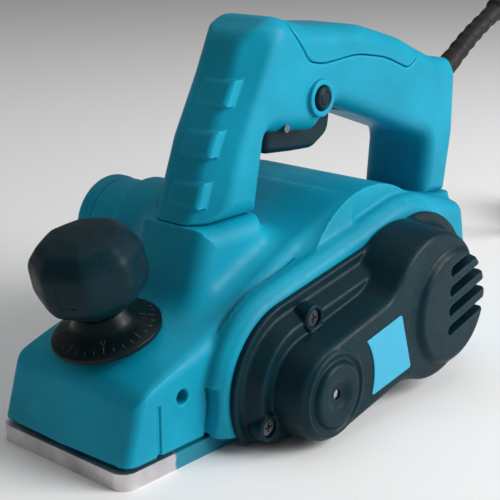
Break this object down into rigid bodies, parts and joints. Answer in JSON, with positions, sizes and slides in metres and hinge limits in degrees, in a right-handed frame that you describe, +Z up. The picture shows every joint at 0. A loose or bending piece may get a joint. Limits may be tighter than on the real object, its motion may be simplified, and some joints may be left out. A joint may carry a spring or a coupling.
{
  "type": "electric hand planer",
  "caption": "Corded electric hand planer with a D-shaped rear handle, side belt cover, front depth knob over a sliding shoe, and a spinning cutter drum.",
  "frame": {"origin": "middle of the footprint box of the machine without its cord, on the plane the sole rests on", "axes": "-X toward the nose and depth knob, +X toward the rear of the handle and the cord, -Y toward the belt cover, +Y toward the chip outlet, +Z up from the sole"},
  "size_m": [0.582, 0.155, 0.1873],
  "materials": {
    "housing_plastic": "glass-filled moulded, satin teal",
    "handle_insert_plastic": "fine grained",
    "cover_plastic": "fine grained, dark",
    "scale_plastic": "satin black",
    "sole_aluminium": "cast and ground",
    "drum_aluminium": "turned",
    "steel": "turned",
    "blade_steel": "ground edge",
    "laminated_iron": "laminated, varnished",
    "copper": "enamelled copper windings and bars",
    "carbon": "pressed carbon",
    "fan_plastic": "moulded",
    "chute_plastic": "moulded",
    "belt_rubber": "moulded",
    "cord_rubber": "moulded"
  },
  "bodies": {
    "planer_body": {"main_housing": "housing_plastic", "handle_shell": "housing_plastic", "handle_cover": "handle_insert_plastic", "belt_cover": "cover_plastic", "brush_holders": "scale_plastic", "base_frame": "sole_aluminium", "bearing_bracket": "sole_aluminium", "adjuster_spring": "steel", "drum_bearings": "steel", "motor_bearings": "steel", "trigger_pin": "steel", "cover_screws": "steel", "brush_springs": "steel", "stator_core": "laminated_iron", "field_coils": "copper", "carbon_brushes": "carbon", "switch_body": "fan_plastic", "chip_chute": "chute_plastic", "drive_belt": "belt_rubber", "power_cord": "cord_rubber", "cord_coil": "cord_rubber", "cord_guard": "cord_rubber", "mains_plug": "cord_rubber"},
    "depth_adjuster": {"depth_knob": "cover_plastic", "depth_scale": "scale_plastic", "adjuster_bolt": "steel"},
    "sliding_shoe": {"front_shoe": "sole_aluminium"},
    "drum": {"cutter_drum": "drum_aluminium", "drum_shaft": "steel", "cutter_blades": "blade_steel", "blade_clamps": "steel", "blade_screws": "steel", "drum_pulley": "steel", "pulley_nut": "steel"},
    "armature": {"armature_shaft": "steel", "armature_core": "laminated_iron", "commutator": "copper", "cooling_fan": "fan_plastic", "motor_pulley": "steel"},
    "trigger_lever": {"trigger": "cover_plastic"},
    "lock_off": {"lock_button": "cover_plastic"}
  },
  "joints": [
    {"name": "knob_turn", "type": "hinge", "parent": "planer_body", "child": "depth_adjuster", "pos_m": [-0.10467, 0.0055, 0.054], "axis": [-0.2756, 0, 0.9613], "range_deg": [0, 270]},
    {"name": "shoe_depth", "type": "slide", "parent": "planer_body", "child": "sliding_shoe", "axis": [-0.2756, 0, 0.9613], "range_m": [0, 0.0015]},
    {"name": "drum_spin", "type": "hinge", "parent": "planer_body", "child": "drum", "pos_m": [-0.03867, 0.0055, 0.0252], "axis": [0, 1, 0], "continuous": true},
    {"name": "motor_spin", "type": "hinge", "parent": "planer_body", "child": "armature", "pos_m": [0.03633, 0.0055, 0.048], "axis": [0, 1, 0], "continuous": true},
    {"name": "trigger_squeeze", "type": "hinge", "parent": "planer_body", "child": "trigger_lever", "pos_m": [-0.00667, 0.0035, 0.135], "axis": [0, -1, 0], "range_deg": [0, 7], "stiffness_Nm_per_rad": 0.3, "springref_deg": -17.19},
    {"name": "lock_press", "type": "slide", "parent": "planer_body", "child": "lock_off", "axis": [0, 1, 0], "range_m": [0, 0.0035], "stiffness_N_per_m": 300, "springref_m": -0.003}
  ],
  "couplings": [
    {"joint": "knob_turn", "follows": "shoe_depth", "rad_per_m": 3141},
    {"joint": "motor_spin", "follows": "drum_spin", "ratio": 2}
  ]
}
